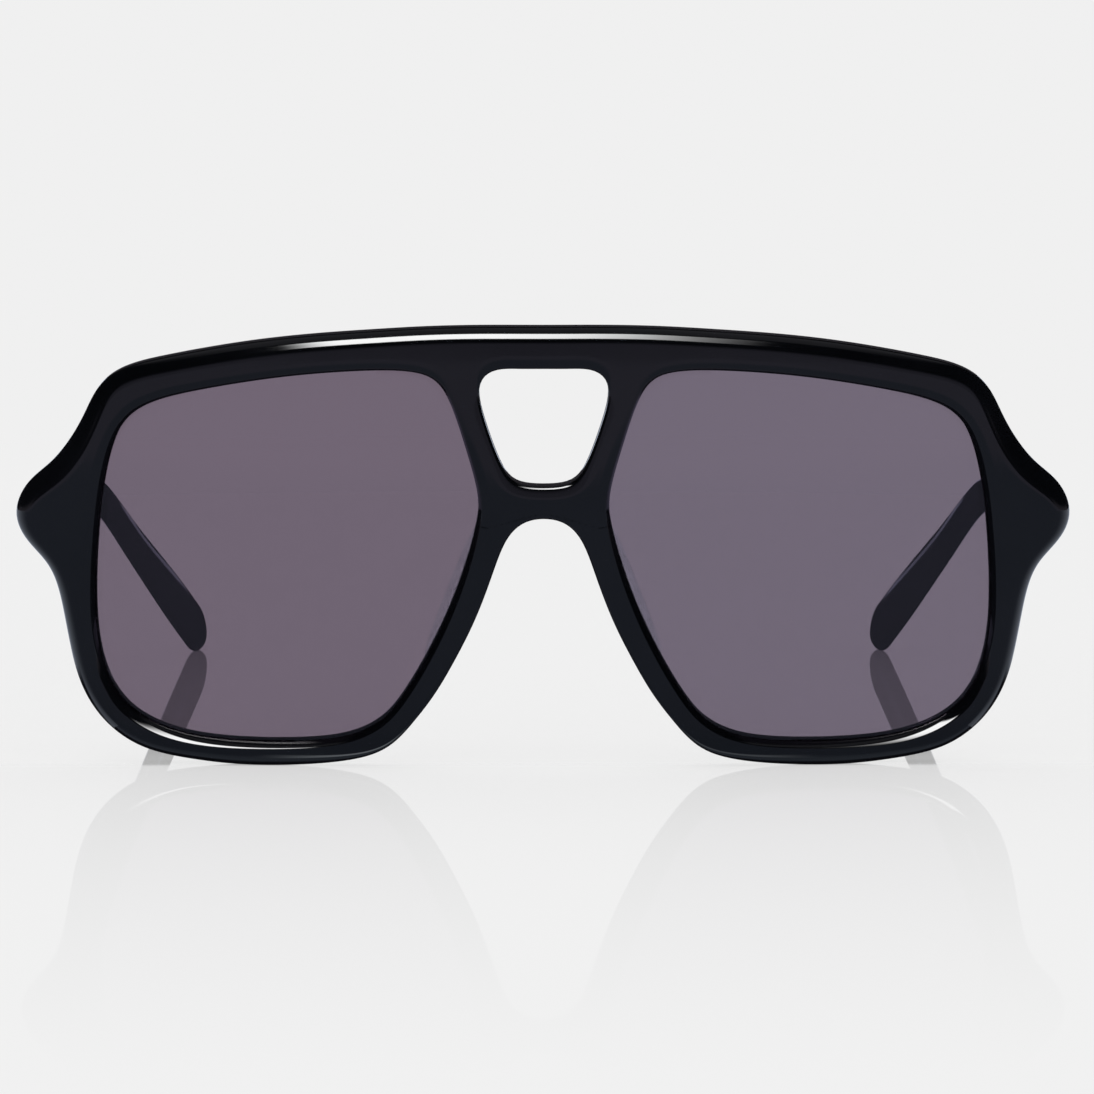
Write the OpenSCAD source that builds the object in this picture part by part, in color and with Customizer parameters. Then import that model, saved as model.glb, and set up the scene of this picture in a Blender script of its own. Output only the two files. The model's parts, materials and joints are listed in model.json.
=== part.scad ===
// Navigator sunglasses: a milled acetate front with a double bridge, tinted lenses, glued nose pads,
// and wire-cored temples on five-barrel hinges. Left and right are the wearer's.
// The front is drawn upright, with its outer face towards -Y, the datum line of the lenses at z = 0 and
// the middle of the bridge at x = 0. stand() then sets it on the table, on its rims and temple tips.

/* [Lenses] */
// Width of each lens opening
lens_w = 54.6; // [50:0.2:58]
// Height of each lens opening
lens_h = 53.4; // [50:0.2:57]
// Distance between the two lens openings
bridge_w = 18.6; // [17:0.2:21]
// Thickness of a lens
lens_t = 2.0; // [1.6:0.1:2.2]
// Depth of a lens's face behind the face of the front
lens_set = 1.4; // [1.2:0.1:1.6]
// Depth of the lens groove in the wall of the opening
groove_d = 0.8; // [0.5:0.1:1]
// Clearance all round a lens in its groove
lens_fit = 0.05; // [0.02:0.01:0.1]

/* [Front] */
// Thickness of the front
front_t = 4.8; // [4.4:0.1:5.4]
// Radius of the face-form curve, on which the front and the lenses lie
face_r = 300; // [240:10:400]
// Height of the brow bar above the lens openings
brow_h = 5.4; // [4.8:0.1:6.4]
// Width of the rim beside a lens
side_w = 4.6; // [4.4:0.1:6]
// Height of the rim below a lens
foot_h = 3.5; // [3.2:0.1:5]
// How far an end piece stands out from the lens opening
lug_out = 11.3; // [10.5:0.1:13]
// Height of the end piece above the datum line
lug_z = 5.6; // [3.4:0.1:7.4]
// Height of the lower bridge bar
bar_h = 4.6; // [4.2:0.1:6]
// Top of the nose arch above the datum line
arch_z = 6.1; // [4.4:0.1:7.4]
// Height of the window between the two bridge bars
window_h = 16.5; // [15:0.1:18]
// How much narrower the window is than the bridge
window_in = 0.6; // [0.4:0.1:2.6]
// Width of the rounded edge along the brow
brow_edge = 2.3; // [1.4:0.1:2.6]
// Width of the rounded edge at the foot of a rim, wider up its outer side and narrower at the nose
rim_edge = 1.4; // [0.9:0.1:1.5]
// Width of the rounded edge on the inner side of a lens opening, wider below and narrower along the brow
eye_edge = 1.2; // [0.8:0.05:1.25]
// Width of the rounded edge round the window
window_edge = 0.9; // [0.6:0.1:1.1]
// Radius of the edges at the back
back_edge = 0.5; // [0.3:0.1:0.7]

/* [Nose pads] */
// How far a pad stands out behind the front
pad_out = 6.5; // [5:0.1:8]
// How far a pad leans away from the nose, as a share of pad_out
pad_lean = 0.36; // [0.2:0.02:0.5]
// Height of a pad's top above the datum line
pad_top = 4.8; // [2:0.1:5.2]
// Length of a pad, along the rim
pad_len = 20.5; // [17:0.5:21.5]
// Width of a pad at its base
pad_w = 4.4; // [3.6:0.1:5]

/* [Hinges] */
// Outer diameter of a barrel
barrel_d = 3.0; // [2.6:0.1:3.2]
// Diameter of the hinge screw
screw_d = 1.4; // [1.2:0.1:1.6]
// Running clearance between the screw and the barrels, on the radius
screw_fit = 0.05; // [0.02:0.01:0.08]
// Height of one barrel
barrel_h = 1.5; // [1.3:0.05:1.6]
// Gap between neighbouring barrels
barrel_gap = 0.1; // [0.05:0.01:0.15]
// Thickness of a hinge leaf
leaf_t = 1.0; // [0.8:0.1:1.1]
// Length of the temple's leaf
leaf_len = 10; // [8:0.5:12]
// Depth of the front leaf's anchor in the acetate
anchor_d = 2.4; // [1.8:0.1:2.8]
// Gap between the temple's butt and the front
butt_gap = 0.15; // [0.1:0.05:0.3]

/* [Temples] */
// Length of a temple along its middle, from butt to tip
temple_len = 147; // [138:1:150]
// Height of a temple at the butt
butt_h = 10.4; // [9:0.1:11]
// Height of a temple at its waist
waist_h = 4.6; // [4.2:0.1:6]
// Distance from the butt to the waist
waist_at = 82; // [70:1:95]
// Height of a temple near the tip
tip_h = 8.1; // [7:0.1:10]
// Thickness of a temple at the butt
butt_t = 3.8; // [3.6:0.1:4.6]
// Thickness of a temple at the tip
tip_t = 2.9; // [2.8:0.1:3.8]
// Fall of the straight stretch below square to the front, in degrees
panto = 7.2; // [6:0.1:10]
// Distance from the butt to the start of the ear bend
bend_at = 54; // [48:1:60]
// Length of the ear bend
bend_len = 46; // [36:1:56]
// Further fall of the tip, in degrees
drop = 23.2; // [18:0.2:26]
// Turn of the tip towards the head, in degrees
tip_in = 12; // [6:0.2:16]
// Width of the core wire
core_w = 2.0; // [1.6:0.1:2.4]
// Thickness of the core wire
core_t = 1.0; // [0.8:0.1:1.1]
// Length of the core wire
core_len = 120; // [100:1:126]
// Clearance round the core wire
core_fit = 0.04; // [0.02:0.01:0.08]

/* [Hidden] */

acetate = [0.03, 0.032, 0.04];
clear = [0.86, 0.87, 0.9, 0.55];
tint = [0.2, 0.17, 0.21, 0.75];
nickel = [0.72, 0.71, 0.68];

// Half sizes and edges of the left lens opening, from which the outlines are drawn
half_w = lens_w / 2;
half_h = lens_h / 2;
eye_x = bridge_w / 2 + half_w;
eye_out = eye_x + half_w;
eye_in = eye_x - half_w;
lug_x = eye_out + lug_out;

// Steps of a curve between two of its points
eye_steps = 4;
outline_steps = 3;
window_steps = 2;

// A lens opening from its upper inner corner outwards: shares of its half width and half height,
// and the width of the rounded edge there as a share of eye_edge
eye_shape = [
    [-0.824, 0.904, 0.45], [-0.672, 0.995, 0.45], [-0.417, 1.001, 0.5], [-0.006, 0.964, 0.5],
    [0.41, 0.892, 0.5], [0.689, 0.814, 0.55], [0.851, 0.679, 0.7], [0.938, 0.425, 0.85],
    [0.981, 0.11, 0.9], [0.999, -0.222, 0.95], [0.977, -0.532, 1.2], [0.869, -0.788, 1.6],
    [0.642, -0.939, 1.55], [0.356, -0.994, 1.3], [0.036, -1, 1.1], [-0.263, -0.973, 1],
    [-0.463, -0.893, 0.95], [-0.605, -0.738, 0.95], [-0.769, -0.443, 1], [-0.904, -0.118, 0.95],
    [-0.988, 0.176, 0.8], [-0.996, 0.378, 0.6], [-0.926, 0.64, 0.5]];

// The left half of the front's outline, from the middle of the brow to the top of the nose arch:
// x, z and the width of the rounded edge there
outline_half = [
    [0, half_h + brow_h + 0.8, brow_edge],
    [eye_in - 1.3, half_h + brow_h + 0.8, brow_edge],
    [eye_x - 20.5, half_h + brow_h + 0.6, brow_edge],
    [eye_x - 12.5, half_h + brow_h + 0.1, brow_edge],
    [eye_x - 4.5, half_h + brow_h - 0.55, brow_edge],
    [eye_x + 3.5, half_h + brow_h - 1.5, brow_edge],
    [eye_out - 16.4, half_h + brow_h - 2.75, brow_edge],
    [eye_out - 9.9, half_h + brow_h - 4.1, brow_edge],
    [eye_out - 4.8, half_h + brow_h - 5.6, brow_edge],
    [eye_out - 1.1, half_h + brow_h - 8.2, brow_edge],
    [eye_out + 1.1, half_h + brow_h - 12, brow_edge],
    [lug_x - 8.1, lug_z + 10.8, brow_edge],
    [lug_x - 5.1, lug_z + 7.1, brow_edge],
    [lug_x - 1.8, lug_z + 4.1, brow_edge],
    [lug_x, lug_z + 0.1, (brow_edge + 1.5 * rim_edge) / 2],
    [lug_x - 1.3, lug_z - 3.8, 1.5 * rim_edge],
    [lug_x - 4.2, lug_z - 7.1, 1.4 * rim_edge],
    [lug_x - 5.9, lug_z - 10.7, 1.5 * rim_edge],
    [eye_out + side_w - 0.1, 17.3 - half_h, 1.6 * rim_edge],
    [eye_out + side_w - 0.9, 12.8 - half_h, 1.6 * rim_edge],
    [eye_out + side_w - 2.3, 7.6 - half_h, 1.5 * rim_edge],
    [eye_out + side_w - 5.4, 6 - half_h - foot_h, 1.4 * rim_edge],
    [eye_out + side_w - 10.8, 2.2 - half_h - foot_h, 1.2 * rim_edge],
    [eye_x + 14, 0.6 - half_h - foot_h, 1.1 * rim_edge],
    [eye_x + 6.3, -half_h - foot_h, rim_edge],
    [eye_x - 1.5, 0.2 - half_h - foot_h, 0.95 * rim_edge],
    [eye_x - 8.5, 1 - half_h - foot_h, 0.8 * rim_edge],
    [eye_in + 13.1, 3 - half_h - foot_h, 0.6 * rim_edge],
    [eye_in + 9.1, 7 - half_h - foot_h, 0.5 * rim_edge],
    [eye_in + 5.9, 7.9 - half_h, 0.5 * rim_edge],
    [eye_in + 2.9, 13.2 - half_h, 0.5 * rim_edge],
    [eye_in + 0.3, arch_z - 14.2, 0.5 * rim_edge],
    [eye_in - 1.9, arch_z - 8.4, 0.5 * rim_edge],
    [eye_in - 3.9, arch_z - 3.3, 0.55 * rim_edge],
    [eye_in - 6.4, arch_z - 0.65, 0.6 * rim_edge],
    [0, arch_z, 0.6 * rim_edge]];
brow_at = 1;

// The left half of the window, from the middle of its top to the middle of its foot
window_x = (bridge_w - window_in) / 2;
window_z = arch_z + bar_h;
window_half = [
    [0, window_z + window_h, window_edge], [window_x - 5.6, window_z + window_h, window_edge],
    [window_x - 2.5, window_z + window_h - 0.15, window_edge],
    [window_x - 0.4, window_z + window_h - 1.5, window_edge],
    [window_x, window_z + window_h - 4.2, window_edge], [window_x - 0.8, window_z + 9, window_edge],
    [window_x - 2, window_z + 5.5, window_edge], [window_x - 3.5, window_z + 2.2, window_edge],
    [window_x - 5.6, window_z + 0.4, window_edge], [0, window_z, window_edge]];
corner_at = 3;

// Curves through points
function at(list, i) = list[(i + len(list)) % len(list)];
function blend(a, b, c, d, t) =
    (pow(1 - t, 3) * a + (3 * pow(t, 3) - 6 * pow(t, 2) + 4) * b
     + (-3 * pow(t, 3) + 3 * pow(t, 2) + 3 * t + 1) * c + pow(t, 3) * d) / 6;
// Poles of the closed cubic B-spline that passes through the points, found by correcting a guess
function poles(points, guess, rounds) =
    rounds == 0 ? guess :
    poles(points, [for (i = [0:len(points) - 1])
        guess[i] + points[i] - (at(guess, i - 1) + 4 * guess[i] + at(guess, i + 1)) / 6], rounds - 1);
function through(points, steps) =
    let (pole = poles(points, points, 14))
    [for (i = [0:len(points) - 1], j = [0:steps - 1])
        blend(at(pole, i - 1), pole[i], at(pole, i + 1), at(pole, i + 2), j / steps)];
// A closed outline from its left half, whose first and last points lie on the middle plane
function whole(half) =
    concat(half, [for (i = [len(half) - 2:-1:1]) [-half[i].x, half[i].y, half[i].z]]);
function normal(loop, i) =
    let (d = at(loop, i + 1) - at(loop, i - 1), n = [d.y, -d.x]) n / norm(n);

// Sampled loops, all running clockwise as seen from the front, outwards along the brow first
outline = through(whole(outline_half), outline_steps);
window = through(whole(window_half), window_steps);
eye = through([for (p = eye_shape) [eye_x + p.x * half_w, p.y * half_h, p.z * eye_edge]], eye_steps);

// The face of the front lies on a sphere. Its back follows at front_t, and runs flat behind the end piece
function ease(t) = let (c = min(1, max(0, t))) c * c * (3 - 2 * c);
function face_y(x, z) = face_r - sqrt(face_r * face_r - x * x - z * z);
lug_back = face_y(eye_out + 3.8, lug_z) + front_t;
function back_y(x, z) =
    let (share = ease((abs(x) - eye_out + 6) / 6))
    (1 - share) * (face_y(x, z) + front_t) + share * lug_back;

// Edge profiles, from the face to the back: width into the material, depth and whether that is
// measured from the face (0) or from the back (1)
edge_depth = 0.8;
round_steps = 4;
// The round of a lens opening is deepest where it is widest, just in front of the groove
eye_depth = (lens_set - lens_fit - 0.1) / (max([for (p = eye_shape) p.z]) * eye_edge);
function front_round(w, deep) =
    [for (k = [0:round_steps]) [w * (1 - sin(90 * k / round_steps)),
                                w * deep * (1 - cos(90 * k / round_steps)), 0]];
back_round = [[0, -back_edge, 1], [0.3 * back_edge, -0.3 * back_edge, 1], [back_edge, 0, 1]];
groove = [[0, lens_set - lens_fit, 0], [groove_d, lens_set - lens_fit, 0],
          [groove_d, lens_set + lens_t + lens_fit, 0], [0, lens_set + lens_t + lens_fit, 0]];
function plain_edge(w) = concat(front_round(w, edge_depth), back_round);
function grooved_edge(w) = concat(front_round(w, eye_depth), groove, back_round);

// Points of a band round a loop, ring by ring from the face to the back. side is 1 where the
// material lies to the right of the loop and -1 where it lies to the left
function edge_point(loop, i, side, p) =
    let (q = [loop[i].x, loop[i].y] + side * p[0] * normal(loop, i))
    [q.x, p[1] + (p[2] == 0 ? face_y(q.x, q.y) : back_y(q.x, q.y)), q.y];
function plain_band(loop, side) =
    [for (k = [0:len(plain_edge(1)) - 1], i = [0:len(loop) - 1])
        edge_point(loop, i, side, plain_edge(loop[i].z)[k])];
function grooved_band(loop, side) =
    [for (k = [0:len(grooved_edge(1)) - 1], i = [0:len(loop) - 1])
        edge_point(loop, i, side, grooved_edge(loop[i].z)[k])];

// Faces of a band of rings of n points, numbered from first
function band_faces(first, n, rings, flip) =
    [for (k = [0:rings - 2], i = [0:n - 1])
        let (a = first + k * n + i, b = first + k * n + (i + 1) % n, c = a + n, d = b + n)
        each flip ? [[a, b, c], [b, d, c]] : [[a, c, b], [b, c, d]]];
// A strip of triangles between two chains of point numbers, by the shorter diagonal each time
function strip(points, a, b, flip) =
    [for (i = 0, j = 0,
          go = norm(points[a[1]] - points[b[0]]) < norm(points[a[0]] - points[b[1]]);
          i + j < len(a) + len(b) - 2;
          i = go ? i + 1 : i, j = go ? j : j + 1,
          go = j >= len(b) - 1 ? true : i >= len(a) - 1 ? false :
               norm(points[a[i + 1]] - points[b[j]]) < norm(points[a[i]] - points[b[j + 1]]))
        let (t = go ? [a[i], a[i + 1], b[j]] : [a[i], b[j + 1], b[j]])
        flip ? t : [t[2], t[1], t[0]]];
function mirrored(p) = [-p.x, p.y, p.z];

module front_solid() {
    n_out = len(outline);
    n_win = len(window);
    n_eye = len(eye);
    rings = len(plain_edge(1));
    eye_rings = len(grooved_edge(1));
    left_eye = grooved_band(eye, -1);
    points = concat(plain_band(outline, 1), plain_band(window, -1), left_eye,
                    [for (p = left_eye) mirrored(p)]);
    win_at = n_out * rings;
    eye_at = win_at + n_win * rings;
    twin_at = eye_at + n_eye * eye_rings;
    half_out = n_out / 2;
    half_win = n_win / 2;
    brow = brow_at * outline_steps;
    corner = corner_at * window_steps;

    // Numbers of the points that bound the face (last = false) or the back (last = true)
    function out(i, last) = (last ? n_out * (rings - 1) : 0) + (i + n_out) % n_out;
    function win(i, last) = win_at + (last ? n_win * (rings - 1) : 0) + (i + n_win) % n_win;
    function left(i, last) = eye_at + (last ? n_eye * (eye_rings - 1) : 0) + i % n_eye;
    function right(i, last) = left(i, last) + twin_at - eye_at;
    // side is 1 on the left half and -1 on the right half, where every loop runs the other way
    function rim_chain(side, last) = concat(
        [for (i = [brow:half_out]) out(side * i, last)],
        [for (i = [half_win:-1:corner]) win(side * i, last)], [out(side * brow, last)]);
    function eye_chain(side, last) =
        [for (i = [0:n_eye]) side > 0 ? left(i, last) : right(i, last)];
    function flats(side, last) = let (flip = (side > 0) != last) concat(
        strip(points, rim_chain(side, last), eye_chain(side, last), flip),
        strip(points, [for (i = [0:brow]) out(side * i, last)],
                      [for (i = [0:corner]) win(side * i, last)], flip));
    polyhedron(points, concat(
        band_faces(0, n_out, rings, false), band_faces(win_at, n_win, rings, true),
        band_faces(eye_at, n_eye, eye_rings, true), band_faces(twin_at, n_eye, eye_rings, false),
        flats(1, false), flats(1, true), flats(-1, false), flats(-1, true)));
}

// Place and size of the hinges: three barrels on the front, two on the temple, one screw
hinge_x = eye_out + 2.1;
hinge_y = lug_back + barrel_d / 2 + 0.5;
hinge_h = 5 * barrel_h + 4 * barrel_gap;
pitch = barrel_h + barrel_gap;
// Clearance round what is let into the acetate
snug = 0.03;
// Leaf in the back of the front, and the anchor below it: inner side, outer side and height
plate = [hinge_x - 1.1, hinge_x + 5, hinge_h + 0.6];
anchor = [hinge_x + 0.8, hinge_x + 3.6, hinge_h - 2.4];

// Middle line of the left temple, by the distance s from the butt: its direction falls and turns
butt = [hinge_x + barrel_d / 2 + 0.7 + butt_t / 2, lug_back + butt_gap, lug_z];
function fall(s) = panto + drop * ease((s - bend_at) / bend_len);
function turn(s) = tip_in * ease((s - bend_at - 6) / bend_len);
function ahead(s) = [-sin(turn(s)) * cos(fall(s)), cos(turn(s)) * cos(fall(s)), -sin(fall(s))];
function across(s) = [cos(turn(s)), sin(turn(s)), 0];
function upward(s) = cross(across(s), ahead(s));
function route(stops) =
    [for (i = 0, p = butt + stops[0] * ahead(0); i < len(stops);
          i = i + 1,
          p = p + (at(stops, i) - at(stops, i - 1)) * ahead((at(stops, i) + at(stops, i - 1)) / 2)) p];

// Section of the temple: height, thickness and the share left of them where the tip rounds off
tip_r = tip_h * 0.8;
tip_from = temple_len - tip_r;
function height(s) = waist_h + (butt_h - waist_h) * (1 - ease(s / waist_at))
    + (tip_h - waist_h) * ease((s - waist_at) / (temple_len - waist_at - 12));
function thick(s) = butt_t + (tip_t - butt_t) * ease(s / temple_len);
function left_of(s) = s <= tip_from ? 1 : sqrt(max(0.004, 1 - pow((s - tip_from) / tip_r, 2)));
sides = 16;
function bulge(v, s) = sign(v) * pow(abs(v), 0.6 + 0.35 * ease(s / temple_len));
function section(s) = [for (k = [0:sides - 1]) let (a = 360 * (k + 0.5) / sides)
    [thick(s) / 2 * bulge(cos(a), s) * (0.4 + 0.6 * left_of(s)),
     height(s) / 2 * bulge(sin(a), s) * left_of(s)]];
body_steps = 26;
tip_steps = 6;
temple_stops = concat([for (i = [0:body_steps - 1]) tip_from * i / body_steps],
                      [for (i = [0:tip_steps]) tip_from + tip_r * sin(90 * i / tip_steps)]);
// Points along the temple; those at the butt slide forward or back into the plane of the butt
temple_route = route(temple_stops);
temple_points =
    [for (i = [0:len(temple_stops) - 1], p = section(temple_stops[i]))
        let (s = temple_stops[i], q = temple_route[i] + p.x * across(s) + p.y * upward(s))
        i == 0 ? q - ahead(0) * (q.y - butt.y) / ahead(0).y : q];

// Faces of a solid whose points come section by section
function skin_faces(n, count) = concat([[for (i = [n - 1:-1:0]) i]],
    [for (k = [0:count - 2], i = [0:n - 1])
        let (a = k * n + i, b = k * n + (i + 1) % n) each [[a, b, a + n], [b, b + n, a + n]]],
    [[for (i = [0:n - 1]) (count - 1) * n + i]]);

// Core wire and its channel, which is open at the butt
core_from = 2.5;
core_steps = 22;
core_stops = [for (i = [0:core_steps]) core_from + (core_len - core_from) * i / core_steps];
channel_stops = concat([-1.5], [for (i = [1:core_steps - 1]) core_stops[i]], [core_len + 0.3]);
module wire(stops, w, t) {
    line = route(stops);
    corners = [[1, 1], [-1, 1], [-1, -1], [1, -1]];
    points = [for (i = [0:len(stops) - 1], c = corners)
        line[i] + c.x * t / 2 * across(stops[i]) + c.y * w / 2 * upward(stops[i])];
    polyhedron(points, skin_faces(4, len(stops)));
}

// The leaf of the temple lies along the temple, let into its inner face
leaf_w = 3 * barrel_h + 2 * barrel_gap + 1;
leaf_from = 1.5;
module leaf(gap) {
    translate([butt.x - butt_t / 2, butt.y, butt.z])
    rotate([-panto, 0, 0])
    translate([gap > 0 ? -1 : 0, leaf_from - gap, -leaf_w / 2 - gap])
        cube([leaf_t + gap + (gap > 0 ? 1 : 0), leaf_len + 2 * gap, leaf_w + 2 * gap]);
}
module barrel(level) {
    translate([hinge_x, hinge_y, lug_z + level * pitch - barrel_h / 2])
        cylinder(h = barrel_h, d = barrel_d, $fn = 48);
}
module bore() {
    translate([hinge_x, hinge_y, lug_z - hinge_h])
        cylinder(h = 2 * hinge_h, d = screw_d + 2 * screw_fit, $fn = 48);
}

// A nose pad: level slices that lean outwards towards the back, thin at both ends
pad_steps = 14;
pad_sides = 9;
pad_gap = 0.04;
eye_line = [for (i = [15 * eye_steps:22 * eye_steps]) [eye[i].y, eye[i].x]];
function pad_slice(t) =
    let (z = pad_top - pad_len * (1 - cos(180 * t)) / 2, swell = pow(sin(180 * t), 0.7),
         w = pad_w * (0.28 + 0.52 * swell), middle = lookup(z, eye_line) - 0.45 * pad_w)
    [for (k = [0:pad_sides - 1]) let (a = 180 * k / (pad_sides - 1),
         x = middle + pad_lean * pad_out * swell * sin(a) - w / 2 * cos(a))
        [x, back_y(middle - w / 2 * cos(a), z) + pad_gap + (0.3 + pad_out * swell) * sin(a), z]];
module pad() {
    points = [for (i = [0:pad_steps]) each pad_slice(0.97 - 0.94 * i / pad_steps)];
    polyhedron(points, skin_faces(pad_sides, pad_steps + 1));
}

// The lens: rings of the opening's outline, drawn out into the groove and shrunk towards the middle
lens_shares = [1, 0.75, 0.45, 0.15];
module lens() {
    n = len(eye);
    count = len(lens_shares);
    edge = [for (i = [0:n - 1]) [eye[i].x, eye[i].y] - (groove_d - lens_fit) * normal(eye, i)];
    points = [for (depth = [lens_set, lens_set + lens_t], share = lens_shares, p = edge)
        let (x = eye_x + share * (p.x - eye_x), z = share * p.y) [x, face_y(x, z) + depth, z]];
    polyhedron(points, concat(
        band_faces(0, n, count, true), band_faces(n * count, n, count, false),
        [for (i = [0:n - 1]) let (a = i, b = (i + 1) % n, c = a + n * count, d = b + n * count)
            each [[a, c, b], [b, c, d]]],
        [[for (i = [0:n - 1]) n * (count - 1) + i]],
        [[for (i = [n - 1:-1:0]) n * (2 * count - 1) + i]]));
}

// On the table: the front leans until the temples' tips and the rims' feet are level
foot_points = [for (p = outline) [0, face_y(p.x, p.y) + p.z * edge_depth, p.y]];
function foot_at(tilt) = let (low = min([for (p = foot_points) p.y * sin(tilt) + p.z * cos(tilt)]))
    [for (p = foot_points) if (p.y * sin(tilt) + p.z * cos(tilt) < low + 0.0001) p][0];
function tilt_on(foot) = -min([for (p = temple_points) if (p.y > foot.y + 20)
    atan2(p.z - foot.z, p.y - foot.y)]);
lean = tilt_on(foot_at(tilt_on(foot_at(4.6))));
foot = foot_at(lean);
low_z = foot.y * sin(lean) + foot.z * cos(lean);
far_y = max([for (p = temple_points) p.y * cos(lean) - p.z * sin(lean)]);
near_y = min([for (p = outline) face_y(p.x, p.y) * cos(lean) - p.y * sin(lean)]);
module stand() {
    translate([0, -(far_y + near_y) / 2, -low_z]) rotate([lean, 0, 0]) children();
}

module front_frame() {
    color(acetate) stand()
    difference() {
        front_solid();
        for (side = [1, -1]) {
            translate([side > 0 ? plate[0] - snug : -plate[1] - snug, lug_back - leaf_t - snug,
                       lug_z - plate[2] / 2 - snug])
                cube([plate[1] - plate[0] + 2 * snug, leaf_t + 2, plate[2] + 2 * snug]);
            translate([side > 0 ? anchor[0] - snug : -anchor[1] - snug, lug_back - anchor_d - snug,
                       lug_z - anchor[2] / 2 - snug])
                cube([anchor[1] - anchor[0] + 2 * snug, anchor_d, anchor[2] + 2 * snug]);
        }
    }
}
module left_lens() { color(tint) stand() lens(); }
module right_lens() { color(tint) stand() mirror([1, 0, 0]) lens(); }
module left_nose_pad() { color(clear) stand() pad(); }
module right_nose_pad() { color(clear) stand() mirror([1, 0, 0]) pad(); }

module front_hinge() {
    difference() {
        union() {
            translate([plate[0], lug_back - leaf_t, lug_z - plate[2] / 2])
                cube([plate[1] - plate[0], leaf_t, plate[2]]);
            translate([anchor[0], lug_back - anchor_d, lug_z - anchor[2] / 2])
                cube([anchor[1] - anchor[0], anchor_d, anchor[2]]);
            for (level = [-2, 0, 2]) {
                barrel(level);
                translate([plate[0], lug_back - 0.1, lug_z + level * pitch - barrel_h / 2])
                    cube([hinge_x + barrel_d / 2 - plate[0], hinge_y - lug_back + 0.1, barrel_h]);
            }
        }
        bore();
    }
}
module left_front_hinge() { color(nickel) stand() front_hinge(); }
module right_front_hinge() { color(nickel) stand() mirror([1, 0, 0]) front_hinge(); }

module temple_hinge() {
    difference() {
        union() {
            leaf(0);
            for (level = [-1, 1]) {
                barrel(level);
                translate([hinge_x, hinge_y - 0.1, lug_z + level * pitch - barrel_h / 2])
                    cube([butt.x - butt_t / 2 - hinge_x + 0.4, barrel_d / 2 + 0.1, barrel_h]);
            }
        }
        bore();
    }
}
module left_temple_hinge() { color(nickel) stand() temple_hinge(); }
module right_temple_hinge() { color(nickel) stand() mirror([1, 0, 0]) temple_hinge(); }

module hinge_screw() {
    translate([hinge_x, hinge_y, lug_z]) difference() {
        union() {
            translate([0, 0, -hinge_h / 2 - 0.3]) cylinder(h = hinge_h + 0.35, d = screw_d, $fn = 48);
            translate([0, 0, hinge_h / 2 + 0.02]) cylinder(h = 0.7, d = 2.3, $fn = 48);
        }
        translate([-2, -0.2, hinge_h / 2 + 0.4]) cube([4, 0.4, 1]);
    }
}
module left_hinge_screw() { color(nickel) stand() hinge_screw(); }
module right_hinge_screw() { color(nickel) stand() mirror([1, 0, 0]) hinge_screw(); }

module temple() {
    difference() {
        polyhedron(temple_points, skin_faces(sides, len(temple_stops)));
        wire(channel_stops, core_w + 2 * core_fit, core_t + 2 * core_fit);
        leaf(snug);
    }
}
module left_temple() { color(acetate) stand() temple(); }
module right_temple() { color(acetate) stand() mirror([1, 0, 0]) temple(); }
module left_core_wire() { color(nickel) stand() wire(core_stops, core_w, core_t); }
module right_core_wire() { color(nickel) stand() mirror([1, 0, 0]) wire(core_stops, core_w, core_t); }

front_frame();
left_lens();
right_lens();
left_nose_pad();
right_nose_pad();
left_front_hinge();
right_front_hinge();
left_hinge_screw();
right_hinge_screw();
left_temple();
right_temple();
left_temple_hinge();
right_temple_hinge();
left_core_wire();
right_core_wire();
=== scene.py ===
import bpy, bmesh, json, math
import numpy as np
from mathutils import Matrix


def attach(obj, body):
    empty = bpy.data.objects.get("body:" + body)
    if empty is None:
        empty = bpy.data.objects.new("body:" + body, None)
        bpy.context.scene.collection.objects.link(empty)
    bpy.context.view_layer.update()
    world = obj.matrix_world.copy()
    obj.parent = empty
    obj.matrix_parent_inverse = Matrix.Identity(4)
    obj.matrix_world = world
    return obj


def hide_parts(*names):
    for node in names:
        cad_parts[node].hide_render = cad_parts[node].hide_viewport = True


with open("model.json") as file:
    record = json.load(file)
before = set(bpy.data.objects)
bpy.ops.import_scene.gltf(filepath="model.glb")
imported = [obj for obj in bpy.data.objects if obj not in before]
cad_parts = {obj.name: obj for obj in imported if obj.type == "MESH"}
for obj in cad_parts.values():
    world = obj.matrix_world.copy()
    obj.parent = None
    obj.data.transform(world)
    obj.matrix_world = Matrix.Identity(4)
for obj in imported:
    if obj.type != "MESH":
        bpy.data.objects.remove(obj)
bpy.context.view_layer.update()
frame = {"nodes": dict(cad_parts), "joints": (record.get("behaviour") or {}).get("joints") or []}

# --- How the sunglasses stand -------------------------------------------------------------------
# They rest on the two lower rims and the two temple tips, so the front leans a few degrees forward.
# Every piece below is drawn upright in millimetres, with the lens datum at z = 0 and its outer face
# towards -Y, and the screw of the left hinge gives the lean and the place on the table.
EYE_OUT, LUG_Z = 63.9, 5.6
FACE_R, FRONT_T = 300.0, 4.8
LEAF_ASIDE, SCREW_ASIDE, SCREW_BEHIND = 3.8, 2.1, 2.0


def face_depth(x, z):
    """Depth of the outer face: FACE_R less the root of its square less x squared and z squared,
    which is a sphere that touches the plane y = 0 at the origin."""
    return FACE_R - np.sqrt(FACE_R ** 2 - x ** 2 - z ** 2)


def ease(t):
    """Three t squared less two t cubed, held between 0 and 1."""
    c = np.clip(t, 0, 1)
    return c * c * (3 - 2 * c)


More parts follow.
